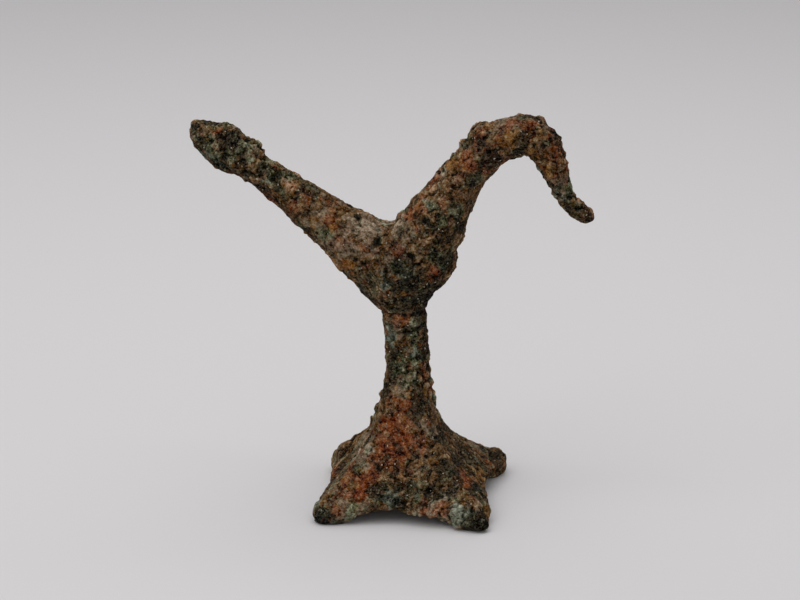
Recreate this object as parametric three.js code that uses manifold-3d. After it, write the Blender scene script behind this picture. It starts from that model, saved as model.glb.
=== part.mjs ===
// A small bronze bird on a round stem with a four-toed foot, cast in one piece.
// Millimetres, +Z up, +X towards the head, -Y is the bird's right side.
// It stands on its toes, and the origin is on the ground under the middle of its length and breadth.

import * as THREE from "three";
import { mergeVertices } from "three/addons/utils/BufferGeometryUtils.js";
import Module from "manifold-3d";

const wasm = await Module();
wasm.setup();

const { degToRad, euclideanModulo, lerp, smoothstep } = THREE.MathUtils;

// Driving dimensions.
const STEM_RADIUS = 4.4;
const BODY_HALF_WIDTH = 6.9;
const RIM_THICKNESS = 2.0;
const HOLLOW_HEIGHT = 6.0;

// How finely the surfaces are cut into faces.
const LIMB_SIDES = 20;
const RINGS_PER_SECTION = 3;
const DOME_RINGS = 4;
const STEM_RINGS_PER_SECTION = 2;
const AZIMUTHS_PER_SIDE = 16;
const FOOT_RINGS = 20;
const RIM_RINGS = 4;
const KNOB_FACES = { around: 14, up: 10 };

// Sections of the limbs. x and z are the middle of a section, measured from the stem's axis and the ground.
// deep is half its size in the bird's plane, and wide is half its size across it.

// From the paddle at the tail's end down into the back and the body.
const TAIL_AND_BACK = [
  { x: -41.1, z: 74.6, deep: 2.5, wide: 2.2 },
  { x: -38.8, z: 73.1, deep: 3.7, wide: 3.1 },
  { x: -35.6, z: 71.2, deep: 4.6, wide: 3.7 },
  { x: -32.2, z: 69.6, deep: 4.0, wide: 3.6 },
  { x: -29.2, z: 67.0, deep: 3.2, wide: 3.3 },
  { x: -24.3, z: 63.6, deep: 3.5, wide: 3.6 },
  { x: -18.5, z: 59.2, deep: 4.3, wide: 4.3 },
  { x: -12.8, z: 54.8, deep: 5.5, wide: 5.2 },
  { x: -8.0, z: 51.2, deep: 6.9, wide: 6.2 },
  { x: -3.0, z: 49.5, deep: 6.9, wide: BODY_HALF_WIDTH },
  { x: 2.0, z: 49.6, deep: 6.0, wide: BODY_HALF_WIDTH * 0.9 },
];
const TAIL_DOME = 1.4;
const BACK_DOME = 3.0;

// From the top of the stem through the breast, up the neck, over the head and down the bill.
const BREAST_TO_BILL = [
  { x: -1.6, z: 42.6, deep: 4.6, wide: 4.6 },
  { x: -1.2, z: 45.4, deep: 6.6, wide: 6.2 },
  { x: 0.4, z: 48.7, deep: 7.9, wide: BODY_HALF_WIDTH },
  { x: 2.4, z: 52.4, deep: 8.1, wide: BODY_HALF_WIDTH },
  { x: 4.4, z: 56.0, deep: 6.5, wide: 6.3 },
  { x: 6.8, z: 60.4, deep: 5.6, wide: 5.4 },
  { x: 9.3, z: 64.5, deep: 4.7, wide: 4.8 },
  { x: 12.3, z: 68.9, deep: 4.2, wide: 4.4 },
  { x: 15.6, z: 72.2, deep: 4.2, wide: 4.3 },
  { x: 19.6, z: 74.4, deep: 4.0, wide: 4.2 },
  { x: 23.0, z: 75.2, deep: 4.0, wide: 4.1 },
  { x: 25.2, z: 74.0, deep: 3.6, wide: 4.0 },
  { x: 26.9, z: 72.3, deep: 3.4, wide: 3.8 },
  { x: 28.2, z: 68.8, deep: 2.9, wide: 3.3 },
  { x: 29.5, z: 65.2, deep: 2.1, wide: 2.6 },
  { x: 31.3, z: 61.9, deep: 1.9, wide: 2.2 },
  { x: 34.3, z: 59.4, deep: 1.7, wide: 1.8 },
];
const BILL_DOME = 1.8;

// The knob that stands out of the nape.
const NAPE_KNOB = { x: 14.6, z: 74.4, radii: [2.9, 3.6, 3.1] };

// The stem, from inside the body down to where the foot begins to spread.
const STEM = [
  { x: -1.8, z: 47.0, deep: 9.0, wide: 6.6 },
  { x: -2.1, z: 44.4, deep: 8.3, wide: 6.2 },
  { x: -1.9, z: 42.0, deep: 6.6, wide: 5.5 },
  { x: -1.1, z: 40.0, deep: 5.1, wide: 4.8 },
  { x: -0.5, z: 38.0, deep: 4.35, wide: 4.3 },
  { x: -0.4, z: 34.0, deep: 4.3, wide: 4.3 },
  { x: 0.0, z: 30.0, deep: STEM_RADIUS, wide: STEM_RADIUS },
];

// Two profiles of the foot's upper side, from the stem out to the rim: along a toe and between two toes.
// reach is measured from the stem's axis.
const RIDGE_PROFILE = [
  { reach: STEM_RADIUS, z: 30.0 },
  { reach: 4.5, z: 27.0 },
  { reach: 5.2, z: 23.0 },
  { reach: 6.6, z: 19.0 },
  { reach: 8.8, z: 15.2 },
  { reach: 12.2, z: 11.4 },
  { reach: 16.6, z: 8.0 },
  { reach: 20.8, z: 5.6 },
  { reach: 23.4, z: 4.0 },
];
const VALLEY_PROFILE = [
  { reach: STEM_RADIUS, z: 30.0 },
  { reach: 4.4, z: 27.0 },
  { reach: 4.9, z: 23.0 },
  { reach: 5.8, z: 19.0 },
  { reach: 7.0, z: 15.2 },
  { reach: 8.8, z: 11.4 },
  { reach: 11.0, z: 8.6 },
  { reach: 13.4, z: 6.6 },
  { reach: 15.4, z: 5.0 },
];

// The tips of the toes in plan, anticlockwise from the front left, with the height of their upper side.
// stout is how far the ridge down to a toe stands out beyond its profile half way down.
// middle and lift are the reach of the edge that follows a toe, half way to the next toe, and its clearance.
const TOES = [
  { x: -16.6, y: -17.8, top: 3.4, stout: 0.9, middle: 16.0, lift: 3.1 },
  { x: 16.8, y: -18.6, top: 3.8, stout: -0.4, middle: 15.9, lift: 3.0 },
  { x: 18.9, y: 16.4, top: 4.4, stout: -1.2, middle: 15.6, lift: 2.8 },
  { x: -16.2, y: 14.6, top: 4.6, stout: 1.4, middle: 15.6, lift: 2.0 },
];

// How softly the foot's plan turns round the end of a toe, and round a ridge where it leaves the stem.
const TOE_ROUNDING = degToRad(6);
const RIDGE_ROUNDING = degToRad(15);

// The rim bulges by this share of its thickness, and the arches under it end at this nearness to a toe.
const RIM_BULGE = 0.4;
const ARCH_END = 0.85;

// The underside, in shares of the foot's reach: where its rings lie, and where the toes' flat pads fade out.
// The pads are modelled a little below the ground and cut off level with it.
const HOLLOW_SHARES = [0.86, 0.74, 0.58, 0.4, 0.2];
const PAD_FADE = { from: 0.6, to: 0.8 };
const PAD_SINK = 0.3;
const GROUND = { side: 60, depth: 10 };

// Points nearer to each other than this are one point.
const WELD = 1e-4;

// A closed solid from a three.js geometry.
function solidOf(geometry) {
  const bare = geometry.index ? geometry.toNonIndexed() : geometry.clone();
  bare.deleteAttribute("normal");
  bare.deleteAttribute("uv");
  const merged = mergeVertices(bare, WELD);
  return new wasm.Manifold(
    new wasm.Mesh({
      numProp: 3,
      vertProperties: merged.attributes.position.array,
      triVerts: new Uint32Array(merged.index.array),
    }),
  );
}

// A three.js geometry from a closed solid.
function geometryOf(solid) {
  const mesh = solid.getMesh();
  const geometry = new THREE.BufferGeometry();
  const position = new THREE.BufferAttribute(new Float32Array(mesh.vertProperties), mesh.numProp);
  geometry.setAttribute("position", position);
  geometry.setIndex(new THREE.BufferAttribute(new Uint32Array(mesh.triVerts), 1));
  geometry.computeVertexNormals();
  return geometry;
}

// The faces that join each ring of points to the next.
function wallFaces(ringCount, sides) {
  const faces = [];
  for (let ring = 0; ring < ringCount - 1; ring++) {
    for (let side = 0; side < sides; side++) {
      const a = ring * sides + side;
      const b = ring * sides + ((side + 1) % sides);
      faces.push(a, b, a + sides, b, b + sides, a + sides);
    }
  }
  return faces;
}

// The fan of faces that closes one ring around the point hub, facing forwards or back.
function fanFaces(ring, sides, hub, facesBack) {
  const faces = [];
  for (let side = 0; side < sides; side++) {
    const a = ring * sides + side;
    const b = ring * sides + ((side + 1) % sides);
    faces.push(...(facesBack ? [hub, b, a] : [hub, a, b]));
  }
  return faces;
}

// The middle of a ring of points.
function middleOf(ring) {
  return ring.reduce((sum, p) => sum.add(p), new THREE.Vector3()).divideScalar(ring.length);
}

// A closed geometry from rings of points that follow one another.
function skin(rings) {
  const sides = rings[0].length;
  const last = rings.length - 1;
  const points = [...rings.flat(), middleOf(rings[0]), middleOf(rings[last])];
  const faces = [
    ...wallFaces(rings.length, sides),
    ...fanFaces(0, sides, points.length - 2, true),
    ...fanFaces(last, sides, points.length - 1, false),
  ];
  return new THREE.BufferGeometry().setFromPoints(points).setIndex(faces);
}

// A smooth curve through one point for each entry of a list.
function curveThrough(list, pointOf) {
  return new THREE.CatmullRomCurve3(list.map(pointOf), false, "catmullrom", 0.5);
}

// The curves of a limb: one through the middles of its sections, and one through their sizes.
function limbCurves(sections) {
  return {
    path: curveThrough(sections, (s) => new THREE.Vector3(s.x, 0, s.z)),
    girth: curveThrough(sections, (s) => new THREE.Vector3(s.deep, s.wide, 0)),
  };
}

// An oval ring of points around a section's middle, square to the way the limb runs.
function ovalRing(middle, along, deep, wide) {
  const across = new THREE.Vector3(0, 1, 0);
  const upward = new THREE.Vector3().crossVectors(along, across).normalize();
  return Array.from({ length: LIMB_SIDES }, (_, side) => {
    const angle = (2 * Math.PI * side) / LIMB_SIDES;
    return middle
      .clone()
      .addScaledVector(across, wide * Math.cos(angle))
      .addScaledVector(upward, deep * Math.sin(angle));
  });
}

// The rings of a dome over one end of a limb, going outwards. sign is -1 at its start and 1 at its end.
function domeRings({ path, girth }, height, sign) {
  const t = sign < 0 ? 0 : 1;
  const along = path.getTangent(t);
  return Array.from({ length: height > 0 ? DOME_RINGS : 0 }, (_, k) => {
    const angle = ((k + 1) / (DOME_RINGS + 1)) * (Math.PI / 2);
    const middle = path.getPoint(t).addScaledVector(along, sign * height * Math.sin(angle));
    const size = girth.getPoint(t).multiplyScalar(Math.cos(angle));
    return ovalRing(middle, along, size.x, size.y);
  });
}

// A limb of the casting: an oval tube through its sections, with a dome over each end that has one.
function limb(sections, startDome, endDome) {
  const curves = limbCurves(sections);
  const count = (sections.length - 1) * RINGS_PER_SECTION;
  const tube = Array.from({ length: count + 1 }, (_, ring) => {
    const t = ring / count;
    const size = curves.girth.getPoint(t);
    return ovalRing(curves.path.getPoint(t), curves.path.getTangent(t), size.x, size.y);
  });
  return skin([...domeRings(curves, startDome, -1).reverse(), ...tube, ...domeRings(curves, endDome, 1)]);
}

// Where one azimuth of the foot lies between two toes, and the foot's own sizes there.
function azimuthAt(toe, nextToe, share) {
  const start = Math.atan2(toe.y, toe.x);
  const turn = euclideanModulo(Math.atan2(nextToe.y, nextToe.x) - start, 2 * Math.PI);
  const blend = smoothstep(share, 0, 1);
  const between = (pick) => lerp(pick(toe), pick(nextToe), blend);
  return {
    azimuth: start + turn * share,
    fromToe: Math.min(share, 1 - share) * turn,
    halfTurn: turn / 2,
    toeReach: between((t) => Math.hypot(t.x, t.y)),
    toeTop: between((t) => t.top),
    stout: between((t) => t.stout),
    middle: toe.middle,
    lift: toe.lift,
  };
}

// All azimuths of the foot, closer together near the toes.
function allAzimuths() {
  return TOES.flatMap((toe, k) =>
    Array.from({ length: AZIMUTHS_PER_SIDE }, (_, step) => {
      const share = (1 - Math.cos((Math.PI * step) / AZIMUTHS_PER_SIDE)) / 2;
      return azimuthAt(toe, TOES[(k + 1) % TOES.length], share);
    }),
  );
}

// 1 on a toe and 0 half way to the next, and between them as a square's corner with its tip rounded.
function nearness(p, rounding) {
  const past = (angle) => 1 / Math.cos(p.halfTurn - Math.min(angle, p.halfTurn)) - 1;
  return past(Math.hypot(p.fromToe, rounding)) / past(rounding);
}

// The rim at one azimuth: how near it is to a toe, its reach, and its upper and lower edges.
function rimOf(p) {
  const near = nearness(p, TOE_ROUNDING);
  return {
    near,
    reach: lerp(p.middle, p.toeReach, near),
    top: lerp(p.lift + RIM_THICKNESS, p.toeTop, near),
    bottom: lerp(p.lift, -PAD_SINK, smoothstep(near, 0, ARCH_END)),
  };
}

// A point of the foot from its azimuth, reach and height.
function polar(p, reach, z) {
  return new THREE.Vector3(reach * Math.cos(p.azimuth), reach * Math.sin(p.azimuth), z);
}

// The rings of the stem, down from inside the body.
function stemRings(azimuths) {
  const { path, girth } = limbCurves(STEM);
  const count = (STEM.length - 1) * STEM_RINGS_PER_SECTION;
  return Array.from({ length: count }, (_, ring) => {
    const middle = path.getPoint(ring / count);
    const size = girth.getPoint(ring / count);
    return azimuths.map((p) => {
      const reach = 1 / Math.hypot(Math.cos(p.azimuth) / size.x, Math.sin(p.azimuth) / size.y);
      return polar(p, reach, 0).add(middle);
    });
  });
}

// The rings of the foot's upper side, from the stem out to the rim, where they settle on the rim's own sizes.
function upperRings(azimuths) {
  const ridge = curveThrough(RIDGE_PROFILE, (q) => new THREE.Vector3(q.reach, q.z, 0));
  const valley = curveThrough(VALLEY_PROFILE, (q) => new THREE.Vector3(q.reach, q.z, 0));
  return Array.from({ length: FOOT_RINGS + 1 }, (_, ring) => {
    const t = ring / FOOT_RINGS;
    const settle = t ** 2;
    const rounding = lerp(RIDGE_ROUNDING, TOE_ROUNDING, t);
    return azimuths.map((p) => {
      const near = nearness(p, rounding);
      const here = valley.getPoint(t).lerp(ridge.getPoint(t), near);
      const end = valley.getPoint(1).lerp(ridge.getPoint(1), near);
      const rim = rimOf(p);
      const rimStart = rim.reach - RIM_BULGE * (rim.top - rim.bottom);
      const swell = p.stout * near * Math.sin(Math.PI * t);
      return polar(p, here.x + swell + (rimStart - end.x) * settle, here.y + (rim.top - end.y) * settle);
    });
  });
}

// The rings round the rim, from below its upper edge to its lower one.
function rimRings(azimuths) {
  return Array.from({ length: RIM_RINGS }, (_, ring) => {
    const angle = Math.PI * (0.5 - (ring + 1) / RIM_RINGS);
    return azimuths.map((p) => {
      const rim = rimOf(p);
      const height = rim.top - rim.bottom;
      const reach = rim.reach - RIM_BULGE * height * (1 - Math.cos(angle));
      return polar(p, reach, rim.bottom + (height * (1 + Math.sin(angle))) / 2);
    });
  });
}

// The rings of the foot's underside, from the rim in to the top of its hollow.
function hollowRings(azimuths) {
  return HOLLOW_SHARES.map((share) => {
    const rise = smoothstep(1 - share, 0, 1);
    const pad = smoothstep(share, PAD_FADE.from, PAD_FADE.to);
    return azimuths.map((p) => {
      const rim = rimOf(p);
      return polar(p, rim.reach * share, lerp(rim.bottom, HOLLOW_HEIGHT, rise * (1 - rim.near * pad)));
    });
  });
}

// The stem and the foot in one: down the stem, out over the foot, round its rim and in under its hollow.
function stemAndFoot() {
  const azimuths = allAzimuths();
  const rings = [
    ...stemRings(azimuths),
    ...upperRings(azimuths),
    ...rimRings(azimuths),
    ...hollowRings(azimuths),
  ];
  return skin(rings.reverse());
}

// A rounded knob on the casting.
function knob({ x, z, radii }) {
  return new THREE.SphereGeometry(1, KNOB_FACES.around, KNOB_FACES.up).scale(...radii).translate(x, 0, z);
}

// The whole casting: its parts joined, and the toes' undersides cut flat on the ground.
function castFigurine() {
  const pieces = [
    limb(TAIL_AND_BACK, TAIL_DOME, BACK_DOME),
    limb(BREAST_TO_BILL, 0, BILL_DOME),
    knob(NAPE_KNOB),
    stemAndFoot(),
  ];
  const joined = pieces.map(solidOf).reduce((sum, piece) => sum.add(piece));
  const ground = new THREE.BoxGeometry(GROUND.side, GROUND.side, GROUND.depth);
  return geometryOf(joined.subtract(solidOf(ground.translate(0, 0, -GROUND.depth / 2))));
}

const patina = new THREE.MeshStandardMaterial({ color: 0x453729, roughness: 0.9, metalness: 0.1 });

const figurine = new THREE.Mesh(castFigurine(), patina);
figurine.name = "bird_figurine";

// The origin comes under the middle of the length and breadth, on the ground.
figurine.geometry.computeBoundingBox();
const middle = figurine.geometry.boundingBox.getCenter(new THREE.Vector3());
figurine.position.set(-middle.x, -middle.y, 0);

const part = new THREE.Group();
part.add(figurine);

export default part;
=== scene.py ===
import math
import bpy
import numpy as np
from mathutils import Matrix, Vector, kdtree, noise


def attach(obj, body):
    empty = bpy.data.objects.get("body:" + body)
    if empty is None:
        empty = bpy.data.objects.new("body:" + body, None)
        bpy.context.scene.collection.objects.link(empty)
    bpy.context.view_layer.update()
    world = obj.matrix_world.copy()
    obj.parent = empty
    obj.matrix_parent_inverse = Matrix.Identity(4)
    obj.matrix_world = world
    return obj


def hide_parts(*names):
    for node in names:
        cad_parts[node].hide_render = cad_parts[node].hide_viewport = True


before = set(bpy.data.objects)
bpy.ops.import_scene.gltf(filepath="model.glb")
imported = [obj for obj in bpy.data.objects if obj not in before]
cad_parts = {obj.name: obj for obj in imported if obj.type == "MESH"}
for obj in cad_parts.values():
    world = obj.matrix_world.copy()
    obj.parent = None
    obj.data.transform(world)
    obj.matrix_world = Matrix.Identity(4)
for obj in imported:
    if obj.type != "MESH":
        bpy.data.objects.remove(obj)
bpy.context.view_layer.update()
scene = bpy.context.scene
mm = 0.001

# the casting: its form

castingForm = {
    "voxel": 0.335,          # mm between the points of the new skin
    "evenRounds": 14,        # rounds that take out the steps left by the voxels
    "evenIn": 0.50,          # how far each of them moves a point in to its neighbours' middle
    "evenOut": 0.52,         # and how far out again, so that nothing shrinks
    "meltRounds": 90,        # rounds that melt the tail, breast and stem into one body
    "meltPull": 0.5,         # how far each of them moves a point, where it melts fully
    "meltMiddle": (3.0, 0.9, 49.0),   # mm, where the three meet
    "meltReach": 13.0,       # mm
    "meltFade": 1.6,         # how steeply it fades towards that reach
    "thicker": 0.06,         # mm added all over
    "solesFlat": (0.05, 0.8),         # mm: no crust up to this height, and all of it this much higher
}

# heights and sizes in mm; the crust is built from coarse to fine
crustForm = {
    "seed": 7,
    "bend": (1.7, 0.35),     # how the outlines of lumps and grains are bent: size, how far
    "swell": (8.0, 0.20),    # slow unevenness of the casting: size, height
    "scabs": (3.6, 0.20),    # broad scabs of crust
    "clods": (2.3, 0.23),    # lumps
    "grains": (1.1, 0.14),   # grains
    "crumbs": (1.5, 0.15),   # broken crumbs of crust
    # where these three are stronger or weaker: size, mean, swing, least, most
    "coarser": (11.0, 0.75, 0.9, 0.35, 1.3),
    # ragged holes between them: size, depth, how rare, how soft their edges
    "hollows": (1.9, 0.13, 0.12, 0.22),
    "nodules": {"count": 330, "size": (0.45, 1.05), "height": (0.10, 0.42)},
    "furrows": (13.0, 0.16),  # thin furrows down the foot's flanks: how close, height
    "pits": {"count": 500, "size": (0.38, 0.80), "height": (-0.10, -0.36)},
    # the patina goes by how far the crust stands out from its own evened form
    "reliefRounds": 7,       # rounds of evening
    "reliefSpan": 0.25,      # mm out or in, beyond which it goes no further
}

# where the outline swells or dips, mostly along its edges: x, y, z, radius, height in mm
formLumps = [
    (-31.0, 0.9, 75.6, 3.2, 0.50),
    (-27.3, 0.9, 73.8, 2.4, -0.75),
    (-39.3, 0.9, 73.2, 2.2, -0.35),
    (-38.2, 0.9, 76.1, 1.6, 0.55),
    (-21.9, 0.9, 68.2, 3.0, 0.35),
    (-18.1, 0.9, 66.3, 2.4, -0.40),
    (-14.6, 0.9, 64.0, 2.8, -0.25),
    (-25.5, 0.9, 62.9, 3.0, 0.40),
    (-21.2, 0.9, 58.7, 2.8, 0.50),
    (-15.1, 0.9, 53.0, 2.6, 0.40),
    (-4.5, 0.9, 58.7, 2.0, 0.45),
    (1.0, 0.9, 57.6, 2.6, -1.10),
    (3.0, 0.9, 60.3, 2.0, -0.40),
    (16.2, 0.9, 76.2, 1.6, -0.62),
    (20.0, 0.9, 78.0, 3.0, 0.30),
    (24.0, 0.9, 79.1, 1.4, -0.20),
    (29.2, 0.9, 78.5, 1.9, 0.65),
    (31.6, 0.9, 76.2, 1.6, -0.40),
    (33.8, 0.9, 72.1, 2.2, -0.30),
    (35.1, 0.9, 66.3, 3.4, 0.30),
    (32.2, 0.9, 62.6, 2.6, -0.25),
    (35.4, 0.9, 59.3, 2.8, 0.35),
    (39.7, 0.9, 58.9, 1.6, 0.25),
    (26.9, 0.9, 70.6, 2.0, -0.35),
    (7.1, 0.9, 65.1, 3.5, -0.25),
    (4.2, 0.9, 62.0, 1.8, 0.35),
    (17.4, 0.9, 65.9, 4.0, 0.20),
    (15.5, 0.9, 60.8, 4.0, 0.20),
    (14.0, 0.9, 54.7, 4.0, 0.25),
    (13.3, 0.9, 48.6, 2.5, 0.25),
    (11.1, 0.9, 44.4, 3.0, 0.15),
    (-5.5, 0.9, 42.1, 2.4, 0.30),
    (-9.8, 0.9, 46.5, 3.4, -0.25),
    (7.4, 0.9, 35.0, 3.0, 0.12),
    (7.8, 0.9, 25.6, 3.0, 0.15),
    (-4.8, 0.9, 14.6, 3.2, -1.00),
    (-11.6, 9.0, 6.8, 3.2, 1.10),
    (20.8, -15.0, 3.0, 3.2, -0.90),
    (14.7, 0.9, 54.7, 2.4, 0.20),
    (18.3, -18.4, 1.6, 2.8, 0.75),
    (21.2, 9.0, 1.2, 3.2, -1.30),
    (0.0, -14.8, 3.3, 2.4, 0.50),
    (4.6, -14.9, 3.2, 2.6, 1.00),
    (7.6, -15.2, 3.0, 2.4, 0.80),
    (1.2, -14.9, 3.2, 2.2, 0.45),
    (6.3, -15.2, 3.0, 2.4, 0.50),
    (9.3, -15.8, 2.9, 2.2, 0.70),
    (-3.2, 3.4, 17.3, 1.6, 0.75),
    (-4.4, 4.0, 13.4, 3.0, -0.60),
    (-12.6, 6.0, 3.6, 3.0, -0.60),
    (-11.9, 12.5, 5.0, 2.2, 0.35),
    (8.0, 0.9, 24.2, 1.8, 0.50),
    (7.9, 0.9, 27.3, 1.6, -0.35),
    (22.0, 11.6, 1.2, 2.6, -0.70),
    (-11.5, -18.2, 1.4, 2.4, 0.40),
    (14.8, -17.9, 1.4, 2.2, 0.50),
    (-4.8, 5.1, 13.0, 2.6, -0.50),
    (17.6, 11.3, 6.8, 2.6, -0.45),
    (20.0, -18.0, 1.0, 2.2, 0.55),
    (-3.2, 1.4, 18.0, 2.0, 0.35),
    (-5.9, 8.4, 11.6, 2.6, -0.60),
    (18.9, 14.8, 5.6, 2.4, -0.80),
    (-13.4, 9.5, 2.4, 2.4, -0.50),
    (-23.4, 0.9, 60.6, 2.8, 0.45),
    (-19.4, 0.9, 57.0, 2.8, 0.35),
]

# single knobs and pits that stand out
knobs = [
    (-25.7, 0.9, 72.3, 1.1, 0.65),
    (14.0, 0.9, 73.3, 1.3, 0.90),
    (25.0, 0.9, 79.2, 0.9, 0.40),
    (-3.0, 0.9, 18.6, 1.5, 0.95),
    (-2.3, 0.9, 21.3, 1.1, 0.70),
    (29.7, -2.9, 73.8, 0.9, -0.50),
    (18.5, -3.0, 75.4, 0.9, -0.35),
    (18.1, -3.0, 73.9, 0.8, -0.40),
    (19.2, -3.2, 72.6, 0.8, -0.35),
    (8.97, -13.1, 6.6, 1.0, -0.90),
    (-2.2, -4.3, 54.4, 1.3, -0.40),
    (-6.0, -1.3, 58.5, 0.9, -0.35),
    (1.1, -4.6, 42.2, 1.3, -0.40),
    (4.6, -5.9, 52.0, 1.0, -0.30),
    (7.0, -4.5, 59.1, 1.0, -0.30),
    (34.9, -1.0, 63.4, 0.8, -0.30),
    (36.9, -0.9, 60.7, 0.7, -0.25),
    (-24.1, -1.6, 68.2, 0.9, -0.35),
    (-22.5, -2.3, 66.0, 0.9, -0.35),
    (-28.3, -2.1, 67.3, 0.9, -0.35),
    (-29.9, -2.1, 72.8, 1.3, -0.30),
]

# the stem and the rings round its top, in mm
stemForm = {
    "middle": (3.36, 0.94),  # where its middle line stands: x, y
    "reach": 7.5,            # how far from that line the rings go
    "wobble": (3.0, 0.35),   # how they wander up and down: size, height
    # height above the ground, half width, how far out
    "rings": [(39.4, 0.7, -0.30), (37.6, 1.0, 0.20), (35.6, 0.7, -0.12)],
}


def pointsOf(mesh):
    co = np.empty(len(mesh.vertices) * 3)
    mesh.vertices.foreach_get("co", co)
    return co.reshape(-1, 3)


def edgesOf(mesh):
    ends = np.empty(len(mesh.edges) * 2, np.int64)
    mesh.edges.foreach_get("vertices", ends)
    return ends.reshape(-1, 2)


def neighbourMean(values, ends):
    # each point's mean over the points it shares an edge with
    count = np.bincount(ends.ravel(), minlength=len(values)).astype(float)
    total = np.empty_like(values)
    for k in range(values.shape[1]):
        total[:, k] = (np.bincount(ends[:, 0], values[ends[:, 1], k], len(values))
                       + np.bincount(ends[:, 1], values[ends[:, 0], k], len(values)))
    return total / np.maximum(count, 1)[:, None]


def normalsOf(mesh):
    mesh.update()
    n = np.empty(len(mesh.vertices) * 3)
    mesh.vertex_normals.foreach_get("vector", n)
    return n.reshape(-1, 3)


def setPoints(mesh, co):
    mesh.vertices.foreach_set("co", np.ascontiguousarray(co, np.float32).ravel())
    mesh.update()


def castingSkin(node, voxel):
    # one even skin over the CAD solid, in mm
    rough = node.data.copy()
    setPoints(rough, pointsOf(rough) / mm)
    carrier = bpy.data.objects.new("skinCarrier", rough)
    scene.collection.objects.link(carrier)
    skin = carrier.modifiers.new("skin", "REMESH")
    skin.mode = "VOXEL"
    skin.voxel_size = voxel
    ready = carrier.evaluated_get(bpy.context.evaluated_depsgraph_get())
    mesh = bpy.data.meshes.new_from_object(ready)
    bpy.data.objects.remove(carrier)
    bpy.data.meshes.remove(rough)
    mesh.materials.clear()
    return mesh


def meltJoins(mesh, form):
    co, ends = pointsOf(mesh), edgesOf(mesh)
    for i in range(form["evenRounds"]):
        co = co + form["evenIn"] * (neighbourMean(co, ends) - co)
        co = co - form["evenOut"] * (neighbourMean(co, ends) - co)
    away = np.linalg.norm(co - np.array(form["meltMiddle"]), axis=1) / form["meltReach"]
    share = np.clip(form["meltFade"] - form["meltFade"] * away, 0, 1)[:, None]
    for i in range(form["meltRounds"]):
        co = co + form["meltPull"] * share * (neighbourMean(co, ends) - co)
    setPoints(mesh, co)
    return co, ends


def waves(co, size, seed):
    # here, in crumbs and in cells each seed has its own place, so that none repeats another
    shift = Vector((seed * 17.3, seed * -9.1, seed * 4.7))
    return np.array([noise.noise(Vector(p) / size + shift) for p in co.tolist()])


def crumbs(co, size, seed):
    # rough noise: each layer is half as wide as the one before, and weaker
    shift = Vector((seed * 7.7, seed * 3.9, seed * -13.1))
    rough, finer, layers = 0.6, 2.0, 3
    return np.array([noise.fractal(Vector(p) / size + shift, rough, finer, layers) for p in co.tolist()])


def cells(co, size, seed):
    # distance to the nearest and to the next cell's middle, and the nearest middle itself
    shift = Vector((seed * 11.9, seed * 5.3, seed * -7.7))
    near, nextOne, middle = [], [], []
    for p in co.tolist():
        gaps, middles = noise.voronoi(Vector(p) / size + shift)
        near.append(gaps[0])
        nextOne.append(gaps[1])
        middle.append(tuple(middles[0]))
    return np.array(near), np.array(nextOne), np.array(middle)


def ownNumber(middle, which):
    # a number from 0 to 1 that all points of one cell share
    return np.modf(np.abs(np.sin(middle @ np.array((12.98, 78.23, 37.71)) + 1.7 * which)) * 4375.85)[0]


def lumpy(near, nextOne, middle):
    # rounded lumps of uneven height with creases between them, about -1 to 1
    crease = np.clip((nextOne - near) * 2.4, 0, 1)
    tall = (0.25 + 0.75 * ownNumber(middle, 0)) * np.sqrt(crease) * (1 - 0.35 * np.clip(near, 0, 1))
    return (tall - 0.45) * 2


def stamp(height, tree, at, radius, tall):
    # one rounded lump, or a pit where tall is below zero
    for spot, i, gap in tree.find_range(at, radius):
        height[i] += tall * (1 - (gap / radius) ** 2) ** 2


def furrowsOf(co, middle, close, tall):
    around = co[:, :2] - np.array(middle)
    far = np.hypot(around[:, 0], around[:, 1])
    turn = around / np.maximum(far, 0.5)[:, None]
    # they lie left and right of the stem, from 4 mm out, and between 3 and 20 mm above the ground
    share = np.clip(far / 2 - 2, 0, 1) * np.clip(2 * np.abs(turn[:, 0]) - 0.8, 0, 1)
    share *= np.clip(co[:, 2] / 3 - 1, 0, 1) * np.clip(5 - co[:, 2] / 4, 0, 1)
    return tall * share * waves(np.column_stack((turn * close, co[:, 2] * 0.12)), 1.0, 10)


def ringsOf(co, form):
    # one height after another, for each ring
    size, far = form["wobble"]
    wobble = far * waves(co, size, 9)
    x, y = form["middle"]
    onStem = np.clip(form["reach"] - np.hypot(co[:, 0] - x, co[:, 1] - y), 0, 1)
    for z, half, out in form["rings"]:
        away = np.clip(np.abs(co[:, 2] - z + wobble) / half, 0, 1)
        yield out * onStem * (1 - away ** 2) ** 2


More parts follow.
